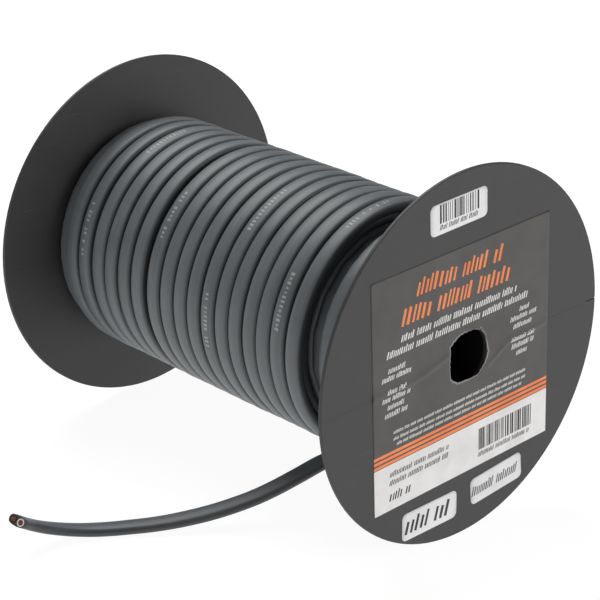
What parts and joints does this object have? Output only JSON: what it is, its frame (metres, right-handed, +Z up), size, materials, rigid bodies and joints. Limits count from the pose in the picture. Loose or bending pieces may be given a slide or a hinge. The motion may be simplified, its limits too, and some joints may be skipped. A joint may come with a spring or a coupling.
{
  "type": "wire spool",
  "caption": "Round-flanged spool wound with flat two-conductor jacketed wire, its cut end lying loose, for paying wire out from a rod.",
  "frame": {"origin": "on the surface that the rims of both flanges stand on, midway between the outer faces and under the spool's axis", "axes": "+X along the spool's axis towards the labelled flange, +Z up, and the loose end of the wire leaves towards -Y"},
  "size_m": [0.211, 0.2352, 0.165],
  "materials": {
    "spool_plastic": "matte moulded black polystyrene",
    "label_paper": "printed paper, satin",
    "sticker_paper": "white paper, matte",
    "wire_jacket": "extruded grey PVC, satin",
    "black_pvc": "extruded black PVC",
    "white_pvc": "extruded white PVC",
    "copper": "bare drawn copper, cut"
  },
  "bodies": {
    "root": {"upper_half_shell": "spool_plastic", "lower_half_shell": "spool_plastic", "main_label": "label_paper", "barcode_sticker": "sticker_paper", "stock_sticker": "sticker_paper", "date_sticker": "sticker_paper", "wound_wire": "wire_jacket", "loose_end": "wire_jacket", "cut_end_jacket": "wire_jacket", "black_insulation": "black_pvc", "white_insulation": "white_pvc", "black_core_strands": "copper", "white_core_strands": "copper"}
  },
  "joints": []
}
